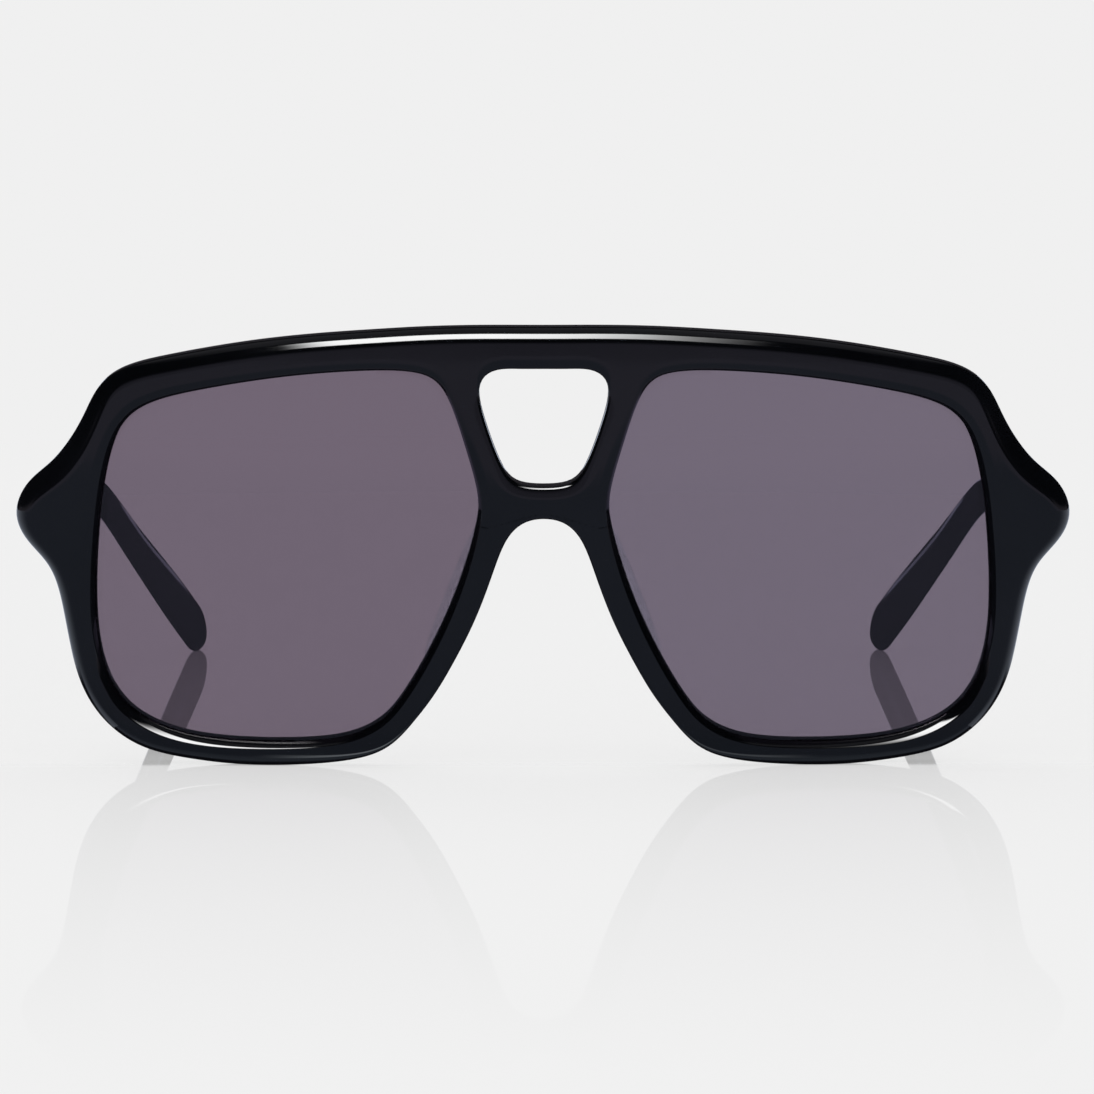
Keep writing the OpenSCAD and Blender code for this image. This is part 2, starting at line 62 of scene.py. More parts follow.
LUG_BACK = float(face_depth(EYE_OUT + LEAF_ASIDE, LUG_Z)) + FRONT_T
HINGE = np.array([EYE_OUT + SCREW_ASIDE, LUG_BACK + SCREW_BEHIND, LUG_Z])
fold = next(j for j in frame["joints"] if j["name"] == "left_temple_fold")
LEAN = math.atan2(-fold["axis"][1], fold["axis"][2])
TURN = np.array([[1, 0, 0], [0, math.cos(LEAN), -math.sin(LEAN)],
                 [0, math.sin(LEAN), math.cos(LEAN)]])
SHIFT = np.array(fold["pos_m"]) * 1000 - TURN @ HINGE


def on_table(points):
    """Upright millimetres turned by the lean about X, moved to the hinge's place, in metres."""
    return (np.asarray(points, float) @ TURN.T + SHIFT) / 1000


# --- The front ----------------------------------------------------------------------------------
# One plate of black cellulose acetate, 4.8 mm thick and heat-bent to the face, milled all round and
# tumbled until its edges are soft: widest along the brow and the upper end pieces, narrow below.
# Each lens opening has a groove for its lens. The end pieces are a hair thinner behind the leaves.
EYE_X, HALF_W, HALF_H, EYE_IN = 36.6, 27.3, 26.7, 9.3
LUG_X, LUG_EASE, LUG_THIN = 75.2, 6, 0.07
BROW_Z = HALF_H + 5.4
FOOT_Z = HALF_H + 3.5
SIDE_X = EYE_OUT + 4.6
ARCH_Z = 6.1
WINDOW_X, WINDOW_Z, WINDOW_H = 9.0, 10.7, 16.5
BROW_EDGE, RIM_EDGE, EYE_EDGE, WINDOW_EDGE, BACK_EDGE = 2.3, 1.4, 0.78, 0.65, 0.5
GROOVE, LENS_SET, LENS_T, LENS_FIT = 0.8, 1.4, 2.0, 0.05

# Points on the outlines: x, z and the width of the rounded edge there. The lens opening has shares
# of its half sizes and of EYE_EDGE, and the outline and the window are given for x above 0
eye_shape = np.array([
    [-0.824, 0.904, 0.45], [-0.672, 0.995, 0.45], [-0.417, 1.001, 0.5], [-0.006, 0.964, 0.5],
    [0.41, 0.892, 0.5], [0.689, 0.814, 0.55], [0.851, 0.679, 0.7], [0.938, 0.425, 0.85],
    [0.981, 0.11, 0.9], [0.999, -0.222, 0.95], [0.977, -0.532, 1.2], [0.869, -0.788, 1.6],
    [0.642, -0.939, 1.55], [0.356, -0.994, 1.3], [0.036, -1, 1.1], [-0.263, -0.973, 1],
    [-0.463, -0.893, 0.95], [-0.605, -0.738, 0.95], [-0.769, -0.443, 1], [-0.904, -0.118, 0.95],
    [-0.988, 0.176, 0.8], [-0.996, 0.378, 0.6], [-0.926, 0.64, 0.5]])
eye_points = eye_shape * [HALF_W, HALF_H, EYE_EDGE] + [EYE_X, 0, 0]
outline_half = np.array([
    [0, BROW_Z + 0.8, BROW_EDGE], [EYE_IN - 1.3, BROW_Z + 0.8, BROW_EDGE],
    [EYE_X - 20.5, BROW_Z + 0.6, BROW_EDGE], [EYE_X - 12.5, BROW_Z + 0.1, BROW_EDGE],
    [EYE_X - 4.5, BROW_Z - 0.55, BROW_EDGE], [EYE_X + 3.5, BROW_Z - 1.5, BROW_EDGE],
    [EYE_OUT - 16.4, BROW_Z - 2.75, BROW_EDGE], [EYE_OUT - 9.9, BROW_Z - 4.1, BROW_EDGE],
    [EYE_OUT - 4.8, BROW_Z - 5.6, BROW_EDGE], [EYE_OUT - 1.1, BROW_Z - 8.2, 1.08 * BROW_EDGE],
    [EYE_OUT + 1.1, BROW_Z - 12, 1.2 * BROW_EDGE], [LUG_X - 8.1, LUG_Z + 10.8, 1.36 * BROW_EDGE],
    [LUG_X - 5.1, LUG_Z + 7.1, 1.42 * BROW_EDGE], [LUG_X - 1.8, LUG_Z + 4.1, 1.32 * BROW_EDGE],
    [LUG_X, LUG_Z + 0.1, 1.1 * BROW_EDGE], [LUG_X - 1.3, LUG_Z - 3.8, 1.5 * RIM_EDGE],
    [LUG_X - 4.2, LUG_Z - 7.1, 1.4 * RIM_EDGE], [LUG_X - 5.9, LUG_Z - 10.7, 1.5 * RIM_EDGE],
    [SIDE_X - 0.1, 17.3 - HALF_H, 1.6 * RIM_EDGE], [SIDE_X - 0.9, 12.8 - HALF_H, 1.6 * RIM_EDGE],
    [SIDE_X - 2.3, 7.6 - HALF_H, 1.5 * RIM_EDGE], [SIDE_X - 5.4, 6 - FOOT_Z, 1.4 * RIM_EDGE],
    [SIDE_X - 10.8, 2.2 - FOOT_Z, 1.2 * RIM_EDGE], [EYE_X + 14, 0.6 - FOOT_Z, 1.1 * RIM_EDGE],
    [EYE_X + 6.3, -FOOT_Z, RIM_EDGE], [EYE_X - 1.5, 0.2 - FOOT_Z, 0.95 * RIM_EDGE],
    [EYE_X - 8.5, 1 - FOOT_Z, 0.8 * RIM_EDGE], [EYE_IN + 13.1, 3 - FOOT_Z, 0.6 * RIM_EDGE],
    [EYE_IN + 9.1, 7 - FOOT_Z, 0.5 * RIM_EDGE], [EYE_IN + 5.9, 7.9 - HALF_H, 0.5 * RIM_EDGE],
    [EYE_IN + 2.9, 13.2 - HALF_H, 0.5 * RIM_EDGE], [EYE_IN + 0.3, ARCH_Z - 14.2, 0.5 * RIM_EDGE],
    [EYE_IN - 1.9, ARCH_Z - 8.4, 0.5 * RIM_EDGE], [EYE_IN - 3.9, ARCH_Z - 3.3, 0.55 * RIM_EDGE],
    [EYE_IN - 6.4, ARCH_Z - 0.65, 0.6 * RIM_EDGE], [0, ARCH_Z, 0.6 * RIM_EDGE]])
window_half = np.array([
    [0, WINDOW_Z + WINDOW_H, WINDOW_EDGE], [WINDOW_X - 5.6, WINDOW_Z + WINDOW_H, WINDOW_EDGE],
    [WINDOW_X - 2.5, WINDOW_Z + WINDOW_H - 0.15, WINDOW_EDGE],
    [WINDOW_X - 0.4, WINDOW_Z + WINDOW_H - 1.5, WINDOW_EDGE],
    [WINDOW_X, WINDOW_Z + WINDOW_H - 4.2, WINDOW_EDGE], [WINDOW_X - 0.8, WINDOW_Z + 9, WINDOW_EDGE],
    [WINDOW_X - 2, WINDOW_Z + 5.5, WINDOW_EDGE], [WINDOW_X - 3.5, WINDOW_Z + 2.2, WINDOW_EDGE],
    [WINDOW_X - 5.6, WINDOW_Z + 0.4, WINDOW_EDGE], [0, WINDOW_Z, WINDOW_EDGE]])


def whole(half):
    """The half outline and its mirror image in x, as one closed loop."""
    return np.vstack([half, (half * [-1, 1, 1])[-2:0:-1]])


def curve(points, t):
    """Closed cubic B-spline through the points, which are at whole t: x, z, edge width and the unit
    normal (dz, -dx), which points to the right of the way the loop runs."""
    n = len(points)
    near = (4 * np.eye(n) + np.roll(np.eye(n), 1, 0) + np.roll(np.eye(n), -1, 0)) / 6
    poles = np.linalg.solve(near, points)
    i = np.floor(t).astype(int)
    u = (t - i)[:, None]
    four = [poles[(i + k) % n] for k in (-1, 0, 1, 2)]
    weight = [(1 - u) ** 3, 3 * u ** 3 - 6 * u ** 2 + 4,
              -3 * u ** 3 + 3 * u ** 2 + 3 * u + 1, u ** 3]
    rate = [-3 * (1 - u) ** 2, 9 * u ** 2 - 12 * u, -9 * u ** 2 + 6 * u + 3, 3 * u ** 2]
    place = sum(w * p for w, p in zip(weight, four)) / 6
    way = sum(w * p for w, p in zip(rate, four)) / 6
    normal = np.column_stack([way[:, 1], -way[:, 0]])
    return place[:, :2], place[:, 2], normal / np.linalg.norm(normal, axis=1)[:, None]


def stations(points, start, end, step):
    """Values of t from start to end, spaced evenly along the curve at about the step."""
    t = np.linspace(start, end, 4000)
    place = curve(points, t)[0]
    run = np.concatenate([[0], np.cumsum(np.linalg.norm(np.diff(place, axis=0), axis=1))])
    return np.interp(np.linspace(0, run[-1], max(2, round(run[-1] / step) + 1)), run, t)


def back_depth(x, z):
    """Depth of the back: the face's depth plus the thickness, easing over the last LUG_EASE of the
    lens opening to a flat behind the end piece."""
    share = ease((np.abs(x) - EYE_OUT + LUG_EASE) / LUG_EASE)
    return (1 - share) * (face_depth(x, z) + FRONT_T) + share * (LUG_BACK - LUG_THIN)


# Rows of an edge: share of the edge width inwards, share of it in depth, then millimetres of each,
# and whether the depth counts from the face (0) or the back (1)
EDGE_DEEP = 0.8
arc = np.radians(np.linspace(0, 90, 15))
front_rows = [(1 - math.sin(a), EDGE_DEEP * (1 - math.cos(a)), 0, 0, 0) for a in arc]
# The window's edge starts with a shoulder that leaves the face softly, up to a slope of 9 degrees,
# and its rounding starts at ROUND_FROM degrees
SHOULDER, SHOULDER_SINK, SHOULDER_STOP, ROUND_FROM, WINDOW_BACK = 1.3, 0.14, 0.93, 11, 1.3
window_rows = [(1 - math.sin(math.radians(ROUND_FROM)), 0, SHOULDER * (1 - u * u),
                SHOULDER_SINK * u ** 3, 0) for u in np.linspace(0, SHOULDER_STOP, 11)]
window_rows += [(1 - math.sin(a), EDGE_DEEP * (1 - math.cos(a)), 0, SHOULDER_SINK, 0)
                for a in np.radians(np.linspace(ROUND_FROM, 90, 15))]


def back_round(radius):
    """A quarter of a circle: inwards radius times 1 less the cosine, back from the back face radius
    times 1 less the sine."""
    return [(0, 0, radius * (1 - math.cos(a)), radius * (math.sin(a) - 1), 1) for a in arc[::2]]


back_rows = back_round(BACK_EDGE)
GROOVE_FROM, GROOVE_TO, LIP = LENS_SET - LENS_FIT, LENS_SET + LENS_T + LENS_FIT, 0.1
groove_rows = [(0, 0, LIP, GROOVE_FROM, 0), (0, 0, GROOVE, GROOVE_FROM, 0),
               (0, 0, GROOVE, GROOVE_TO, 0), (0, 0, LIP, GROOVE_TO, 0),
               (0, 0, 0, GROOVE_TO + LIP, 0)]


def edge_sheet(loop, side, rows):
    """Each row is the loop moved side times its inset along the normal, at the row's depth."""
    place, width, normal = loop
    sheet = []
    for inset, sink, inset_mm, sink_mm, back in rows:
        flat = place + side * (inset * width + inset_mm)[:, None] * normal
        base = (back_depth if back else face_depth)(flat[:, 0], flat[:, 1])
        sheet.append(np.column_stack([flat[:, 0], base + sink * width + sink_mm, flat[:, 1]]))
    return np.array(sheet)


def flat_sheet(outer, inner, count, depth):
    """Straight lines in x and z from the outer chain to the inner one, laid on the face or back."""
    share = np.linspace(0, 1, count)[:, None, None]
    sheet = (1 - share) * outer + share * inner
    sheet[..., 1] = depth(sheet[..., 0], sheet[..., 2])
    return sheet


def line(a, b, count):
    """Points in even steps from a to b, both included."""
    return a + np.linspace(0, 1, count)[:, None] * (b - a)


# The faces are cut where the first point of the brow beside the middle looks down on the window's
# corner: above the window lies a strip, and the rest is a ring round each eye
BROW_POINT, WINDOW_CORNER, STEP, ACROSS = 1, 3, 0.65, 9
outline, window = whole(outline_half), whole(window_half)
t_brow = stations(outline, 0, BROW_POINT, STEP)
t_side = stations(outline, BROW_POINT, len(outline_half) - 1, STEP)
t_top = np.linspace(0, WINDOW_CORNER, len(t_brow))
t_cheek = stations(window, WINDOW_CORNER, len(window_half) - 1, STEP)
brow_band = edge_sheet(curve(outline, t_brow), 1, front_rows + back_rows)
side_band = edge_sheet(curve(outline, t_side), 1, front_rows + back_rows)
top_band = edge_sheet(curve(window, t_top), -1, window_rows + back_round(WINDOW_BACK))
cheek_band = edge_sheet(curve(window, t_cheek), -1, window_rows + back_round(WINDOW_BACK))


def ring_chain(row):
    """The closed chain round an eye: side of the outline, middle line, window, link to the brow."""
    middle = line(side_band[row][-1], cheek_band[row][-1], ACROSS)
    link = line(cheek_band[row][0], brow_band[row][-1], ACROSS)
    return np.vstack([side_band[row], middle[1:-1], cheek_band[row][::-1], link[1:-1]])


def angle_round_eye(x, z):
    """The angle of z over x less EYE_X, which is 0 towards the temple and grows upwards."""
    return np.arctan2(z, x - EYE_X)


# Every point of the ring's chain gets the point of the lens opening that lies at the same angle
t_all = np.linspace(0, len(eye_points), 6001)[:-1]
around = curve(eye_points, t_all)[0]
bearing = angle_round_eye(around[:, 0], around[:, 1])
order = np.argsort(bearing)
t_run = np.unwrap(t_all[order], period=len(eye_points))
chain = ring_chain(0)
eye_t = np.interp(angle_round_eye(chain[:, 0], chain[:, 2]),
                  np.concatenate([bearing[order] + lap * 2 * np.pi for lap in (-1, 0, 1)]),
                  np.concatenate([t_run - lap * len(eye_points) for lap in (-1, 0, 1)]))
eye_loop = curve(eye_points, eye_t % len(eye_points))
# The upper half of a lens opening has a soft shoulder too, which fades out where the rim is narrow.
# Then the edge breaks off the face at a crease and slopes down to the groove, along a curve of the
# power SLOPE_POWER instead of a circle's 2
UPPER_SHOULDER, UPPER_SINK, FADE, BREAK, SLOPE_POWER = 1.2, 0.12, 8, 0.05, 1.22
upper = ease((eye_loop[0][:, 1] + FADE) / (2 * FADE))
eye_rows = [(1, 0, BREAK + UPPER_SHOULDER * upper * (1 - u * u), UPPER_SINK * upper * u ** 3, 0)
            for u in np.linspace(0, SHOULDER_STOP, 9)]
eye_rows += [(1, 0, BREAK, UPPER_SINK * upper, 0)]
slope_deep = GROOVE_FROM - LIP - UPPER_SINK * upper
eye_rows += [(1 - math.sin(a) ** (2 / SLOPE_POWER), 0, 0,
              UPPER_SINK * upper + slope_deep * (1 - math.cos(a) ** (2 / SLOPE_POWER)), 0)
             for a in arc]
eye_band = edge_sheet(eye_loop, -1, eye_rows + groove_rows + back_rows)

half_sheets = [
    (flat_sheet(ring_chain(0), eye_band[0], ACROSS, face_depth), True),
    (flat_sheet(ring_chain(-1), eye_band[-1], ACROSS, back_depth), True),
    (eye_band, True), (brow_band, False), (side_band, False), (top_band, False),
    (cheek_band, False)]
for row, depth in ((0, face_depth), (-1, back_depth)):
    half_sheets.append((flat_sheet(brow_band[row], top_band[row], ACROSS, depth), False))


def closed_mesh(name, sheets, sharp=40):
    """Joins sheets of points, rows by columns, into one closed mesh: a square for every four
    neighbours, shared points merged, normals outwards and corners sharper than the angle kept."""
    points, faces, first = [], [], 0
    for sheet, loops in sheets:
        rows, columns = sheet.shape[:2]
        number = first + np.arange(rows * columns).reshape(rows, columns)
        if loops:
            number = np.column_stack([number, number[:, :1]])
        faces.append(np.stack([number[:-1, :-1], number[1:, :-1], number[1:, 1:], number[:-1, 1:]],
                              axis=-1).reshape(-1, 4))
        points.append(sheet.reshape(-1, 3))
        first += rows * columns
    mesh = bpy.data.meshes.new(name)
    mesh.from_pydata(on_table(np.vstack(points)).tolist(), [], np.vstack(faces).tolist())
    form = bmesh.new()
    form.from_mesh(mesh)
    bmesh.ops.remove_doubles(form, verts=form.verts, dist=1e-6)
    bmesh.ops.recalc_face_normals(form, faces=form.faces)
    form.to_mesh(mesh)
    form.free()
    mesh.polygons.foreach_set("use_smooth", np.ones(len(mesh.polygons), bool))
    mesh.set_sharp_from_angle(angle=math.radians(sharp))
    piece = bpy.data.objects.new(name, mesh)
    bpy.context.scene.collection.objects.link(piece)
    return piece


def mirrored(sheets):
    """The same sheets on the other side of the nose."""
    return [(sheet * [-1, 1, 1], loops) for sheet, loops in sheets]


class Flow:
    """A socket in a shader's nodes. Its operators add Math nodes, with numbers on either side."""

    def __init__(self, tree, socket=None):
        self.tree, self.socket = tree, socket

    def node(self, kind, settings=None, inputs=None, output=0):
        """Adds a node of this type, sets its settings, fills or links its sockets, and gives one of
        its outputs."""
        made = self.tree.nodes.new(kind)
        for key, value in (settings or {}).items():
            if key == "stops":
                ramp = made.color_ramp
                while len(ramp.elements) < len(value):
                    ramp.elements.new(1)
                for stop, (place, colour) in zip(ramp.elements, value):
                    stop.position, stop.color = place, (*colour, 1)
            else:
                setattr(made, key, value)
        for key, value in (inputs or {}).items():
            if isinstance(value, Flow):
                self.tree.links.new(value.socket, made.inputs[key])
            else:
                made.inputs[key].default_value = value
        return Flow(self.tree, made.outputs[output] if len(made.outputs) else None)

    def math(self, kind, *values):
        """A Math node of this operation on the values."""
        return self.node("ShaderNodeMath", {"operation": kind}, dict(enumerate(values)))

    def __add__(self, other): return self.math("ADD", self, other)
    def __radd__(self, other): return self.math("ADD", other, self)
    def __sub__(self, other): return self.math("SUBTRACT", self, other)
    def __rsub__(self, other): return self.math("SUBTRACT", other, self)
    def __mul__(self, other): return self.math("MULTIPLY", self, other)
    def __rmul__(self, other): return self.math("MULTIPLY", other, self)
    def __truediv__(self, other): return self.math("DIVIDE", self, other)
    def __rtruediv__(self, other): return self.math("DIVIDE", other, self)
    def __pow__(self, other): return self.math("POWER", self, other)

    def step(self, low, high):
        """0 below low and 1 above high, easing between them; low may be the larger."""
        return self.node("ShaderNodeMapRange", {"interpolation_type": "SMOOTHSTEP", "clamp": True},
                         {"Value": self, "From Min": low, "From Max": high})

    def rise(self, low, high, top=1.0):
        """0 below low and top above high, in a straight line between them."""
        return self.node("ShaderNodeMapRange", {"clamp": True}, {
            "Value": self, "From Min": low, "From Max": high, "To Min": 0.0, "To Max": top})

    def blend(self, low, high):
        """The colour low where this is 0 and high where it is 1."""
        return self.node("ShaderNodeMix", {"data_type": "RGBA"},
                         {"Factor": self, 6: (*low, 1) if isinstance(low, tuple) else low,
                          7: (*high, 1) if isinstance(high, tuple) else high}, 2)


def blank_material(name):
    """A new material with only its output, and the Flow that its nodes start from."""
    material = bpy.data.materials.new(name)
    material.use_nodes = True
    material.node_tree.nodes.clear()
    return material, Flow(material.node_tree)


def grain(flow, size, detail=2.0, stretch=(1, 1, 1)):
    """Noise whose patches are about size metres across, stretched along the table's axes."""
    spot = flow.node("ShaderNodeTexCoord", output="Object")
    spot = flow.node("ShaderNodeMapping", {}, {"Vector": spot, "Scale": stretch})
    return flow.node("ShaderNodeTexNoise", {},
                     {"Vector": spot, "Scale": 1 / size, "Detail": detail})


ACETATE_IOR = 1.48


def acetate(name, deep, clouded, polish):
    """Black acetate: two near-black dyes clouded into each other, buffed to a gloss that varies a
    little, with faint waves from the buffing wheel and hair-fine rub marks."""
    material, flow = blank_material(name)
    cloud = grain(flow, 0.016, 3).step(0.35, 0.7)
    wipe = grain(flow, 0.0012, 2, (1, 1, 6)).step(0.45, 0.8)
    waves = grain(flow, 0.007, 1)
    bump = flow.node("ShaderNodeBump", {}, {"Height": waves + 0.03 * wipe, "Strength": 0.25,
                                            "Distance": 0.00004})
    skin = flow.node("ShaderNodeBsdfPrincipled", {}, {
        "Base Color": cloud.blend(deep, clouded), "Roughness": polish + 0.02 * cloud + 0.015 * wipe,
        "IOR": ACETATE_IOR, "Normal": bump})
    flow.node("ShaderNodeOutputMaterial", {}, {"Surface": skin})
    return material


front_acetate = acetate("black acetate, tumbled", (0.0010, 0.0012, 0.0018),
                        (0.0019, 0.0021, 0.0030), 0.045)
front = closed_mesh("front", half_sheets + mirrored(half_sheets))
front.data.materials.append(front_acetate)
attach(front, "front")
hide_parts("front_frame")

# --- The lenses ---------------------------------------------------------------------------------
# Two grey-violet sun lenses of 2 mm, ground to the same sphere as the face and edged to the
# opening's outline 0.75 mm over size. The warmed front is sprung over them, into its groove.
LENS_OUT, LENS_BEVEL, RIM_STEP, RINGS = GROOVE - LENS_FIT, 0.2, 0.8, 24
place, _, normal = curve(eye_points, stations(eye_points, 0, len(eye_points), RIM_STEP)[:-1])
rim = place - LENS_OUT * normal


def lens_sheet(shares, depths):
    """The lens's outline shrunk to each share of itself towards the middle, at each depth."""
    sheet = np.array([np.column_stack([EYE_X + s * (rim[:, 0] - EYE_X), np.full(len(rim), d),
                                       s * rim[:, 1]]) for s, d in zip(shares, depths)])
    sheet[..., 1] += face_depth(sheet[..., 0], sheet[..., 2])
    return sheet


outward = np.linspace(0, 0.992, RINGS)
lens_shares = np.concatenate([outward, [1, 1], outward[::-1]])
lens_depths = LENS_SET + np.concatenate([
    np.zeros(RINGS), [LENS_BEVEL, LENS_T - LENS_BEVEL], np.full(RINGS, LENS_T)])
lens_half = [(lens_sheet(lens_shares, lens_depths), True)]


def lens_glass(name, tint):
    """Tinted sheet: what lies behind shows through in the tint, under a thin plain reflection. Dark
    inside, with a film that lightens it and dulls its gloss a little in patches."""
    material, flow = blank_material(name)
    clear = flow.node("ShaderNodeBsdfTransparent", {}, {"Color": (*tint, 1)})
    film = grain(flow, 0.02, 2).step(0.3, 0.8)
    gloss = flow.node("ShaderNodeBsdfPrincipled", {}, {
        "Base Color": film.blend((0.010, 0.008, 0.012), (0.014, 0.011, 0.017)),
        "Roughness": 0.02 + 0.02 * film, "IOR": 2.0})
    both = flow.node("ShaderNodeMixShader", {}, {"Fac": 0.3, 1: clear, 2: gloss})
    flow.node("ShaderNodeOutputMaterial", {}, {"Surface": both})
    return material


# The right lens's tint is a little darker than the left's, which is painted shade: the two lenses
# are the same glass
for name, sheets, tint in (
        ("left_lens", lens_half, (0.597, 0.544, 0.622)),
        ("right_lens", mirrored(lens_half), (0.590, 0.524, 0.598))):
    lens = closed_mesh(name + "_ground", sheets)
    lens.data.materials.append(lens_glass(name.replace("_", " ") + " tint", tint))
    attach(lens, "front")
    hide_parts(name)

# --- The nose pads ------------------------------------------------------------------------------
# Two fins of clear acetate, cut apart and welded with solvent to the back of the front beside the
# lenses, then filed and polished. They swell in the middle and die out at the ends.
PAD_OUT, PAD_LEAN, PAD_TOP, PAD_LEN, PAD_W, PAD_GAP = 6.5, 0.36, 4.8, 20.5, 4.4, 0.04
PAD_CLEAR = (0.92, 0.95, 0.96, 1)
NOSE_FROM, NOSE_TO = 15, 22
eye_line = curve(eye_points, np.linspace(NOSE_FROM, NOSE_TO, 400))[0]
t = np.linspace(0.02, 0.98, 70)[:, None]
level = PAD_TOP - PAD_LEN * (1 - np.cos(np.pi * t)) / 2
swell = np.sin(np.pi * t) ** 0.7
middle = np.interp(level, eye_line[:, 1], eye_line[:, 0]) - 0.45 * PAD_W
girth = PAD_W * (0.28 + 0.52 * swell)
a = np.linspace(0, np.pi, 33)[None, :]


def pad_sheet(share):
    """Level slices, each half an ellipse on a flat base that leans away from the nose: across it
    goes minus cosine times half the girth, and backwards sine times the swell."""
    x = middle + share * (PAD_LEAN * PAD_OUT * swell * np.sin(a) - girth / 2 * np.cos(a))
    base = back_depth(middle - share * girth / 2 * np.cos(a), level)
    y = base + PAD_GAP + share * (0.3 + PAD_OUT * swell) * np.sin(a)
    return np.stack([x, y, level + 0 * a], axis=-1)


skin = pad_sheet(1)
base = skin[:, [0, -1]]
ends = [np.stack([row, np.broadcast_to(row[[0, -1]].mean(0), row.shape)])
        for row in (skin[0], skin[-1])]
pad_half = [(skin, False), (base, False), (ends[0], True), (ends[1], True)]
# The outer side is glossy only where it is seen on edge, where its grey base colour also paints the
# dark outline that a clear body gets from bending the light behind it, which is painted shade. The
# welded side is plain, so that what lies behind shows through both without a speck
clear_acetate, flow = blank_material("clear acetate, filed and polished")
through = flow.node("ShaderNodeBsdfTransparent", {}, {"Color": PAD_CLEAR})
film = grain(flow, 0.006, 2).step(0.3, 0.8)
edge = flow.node("ShaderNodeLayerWeight", {}, {"Blend": 0.5}, "Facing")
bump = flow.node("ShaderNodeBump", {}, {
    "Height": grain(flow, 0.004, 1), "Strength": 0.3, "Distance": 0.00008})
gloss = flow.node("ShaderNodeBsdfPrincipled", {}, {
    "Base Color": film.blend((0.16, 0.15, 0.165), (0.22, 0.21, 0.225)),
    "Roughness": 0.04 + 0.03 * film, "IOR": ACETATE_IOR, "Normal": bump})
both = flow.node("ShaderNodeMixShader", {}, {"Fac": 0.7 * edge.step(0.93, 0.995),
                                             1: through, 2: gloss})
flow.node("ShaderNodeOutputMaterial", {}, {"Surface": both})
welded, flow = blank_material("clear acetate, welded side")
through = flow.node("ShaderNodeBsdfTransparent", {}, {"Color": PAD_CLEAR})
flow.node("ShaderNodeOutputMaterial", {}, {"Surface": through})
for name, sheets in (("left_nose_pad", pad_half), ("right_nose_pad", mirrored(pad_half))):
    pad = closed_mesh(name + "_filed", sheets, 60)
    pad.data.materials.append(clear_acetate)
    pad.data.materials.append(welded)
    normals = np.zeros(3 * len(pad.data.polygons), np.float32)
    pad.data.polygons.foreach_get("normal", normals)
    faces_front = normals.reshape(-1, 3) @ TURN[:, 1] < -0.9
    pad.data.polygons.foreach_set("material_index", faces_front.astype(np.int32))
    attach(pad, "front")
    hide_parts(name)

# --- The temples --------------------------------------------------------------------------------
# Each is sawn from 4 mm acetate over a core wire, milled tall at the butt and slim at the waist,
# tumbled round, then bent: down over the ear, and its paddle-shaped tip in towards the head.
TEMPLE_LEN, BUTT_H, WAIST_H, WAIST_AT, TIP_H = 147.0, 10.4, 4.6, 82.0, 8.1
BUTT_T, TIP_T, PANTO, BEND_AT, BEND_LEN, DROP, TIP_IN = 3.8, 2.9, 7.2, 54.0, 46.0, 23.2, 12.0
CORE_W, CORE_T, CORE_FIT, CORE_FROM = 2.0, 1.0, 0.04, 2.4
BARREL_R, LEAF_T, LEAF_LEN, LEAF_PROUD, BUTT_GAP, BUTT_EDGE = 1.5, 0.7, 14, 0.07, 0.15, 0.3
butt = np.array([HINGE[0] + BARREL_R + LEAF_T + BUTT_T / 2, LUG_BACK + BUTT_GAP, LUG_Z])
s_fine = np.linspace(0, TEMPLE_LEN, 1200)
fall = np.radians(PANTO + DROP * ease((s_fine - BEND_AT) / BEND_LEN))
turn = np.radians(TIP_IN * ease((s_fine - BEND_AT - 6) / BEND_LEN))
ahead = np.stack([-np.sin(turn) * np.cos(fall), np.cos(turn) * np.cos(fall), -np.sin(fall)], axis=1)
across = np.stack([np.cos(turn), np.sin(turn), 0 * turn], axis=1)
upward = np.cross(across, ahead)
pace = np.diff(s_fine)[:, None] * (ahead[1:] + ahead[:-1]) / 2
path = butt + np.vstack([np.zeros((1, 3)), np.cumsum(pace, axis=0)])


def along(table, s):
    """The table's rows, given at s_fine, read off at s in straight lines."""
    return np.stack([np.interp(s, s_fine, table[:, k]) for k in range(3)], axis=-1)


tip_r, SIDES = 0.8 * TIP_H, 56


def temple_sheet(s, shrink):
    """An oval, cosine and sine each to a power that grows from 0.6, squarish, at the butt to 0.95
    at the tip, as thick and tall as the temple is at s, carried along its middle line. The tip
    rounds off over the length tip_r."""
    a = np.linspace(0, 2 * np.pi, SIDES, endpoint=False)[None, :]
    corner = (0.6 + 0.35 * ease(s / TEMPLE_LEN))[:, None]
    wave = lambda v: np.sign(v) * np.abs(v) ** corner
    left = np.sqrt(np.clip(1 - np.clip((s - TEMPLE_LEN + tip_r) / tip_r, 0, 1) ** 2, 0, 1))
    tall = (WAIST_H + (BUTT_H - WAIST_H) * (1 - ease(s / WAIST_AT))
            + (TIP_H - WAIST_H) * ease((s - WAIST_AT) / (TEMPLE_LEN - WAIST_AT - 12))) * left
    thick = (BUTT_T + (TIP_T - BUTT_T) * ease(s / TEMPLE_LEN)) * (0.4 + 0.6 * left)
    u = thick[:, None] / 2 * wave(np.cos(a)) - shrink[:, None] * np.cos(a)
    v = tall[:, None] / 2 * wave(np.sin(a)) - shrink[:, None] * np.sin(a)
    # The inner face lies a hair below the leaf that is let into it
    under_leaf = ease((s - 0.4) / 0.6) * ease((LEAF_LEN - s) / 2)
    u += LEAF_PROUD * (u < 0) * under_leaf[:, None]
    return (along(path, s)[:, None] + u[..., None] * along(across, s)[:, None]
            + v[..., None] * along(upward, s)[:, None])


def to_butt(points):
    """Slides points along the first stretch into the plane of the butt."""
    return points - ahead[0] * ((points[..., 1] - butt[1]) / ahead[0][1])[..., None]


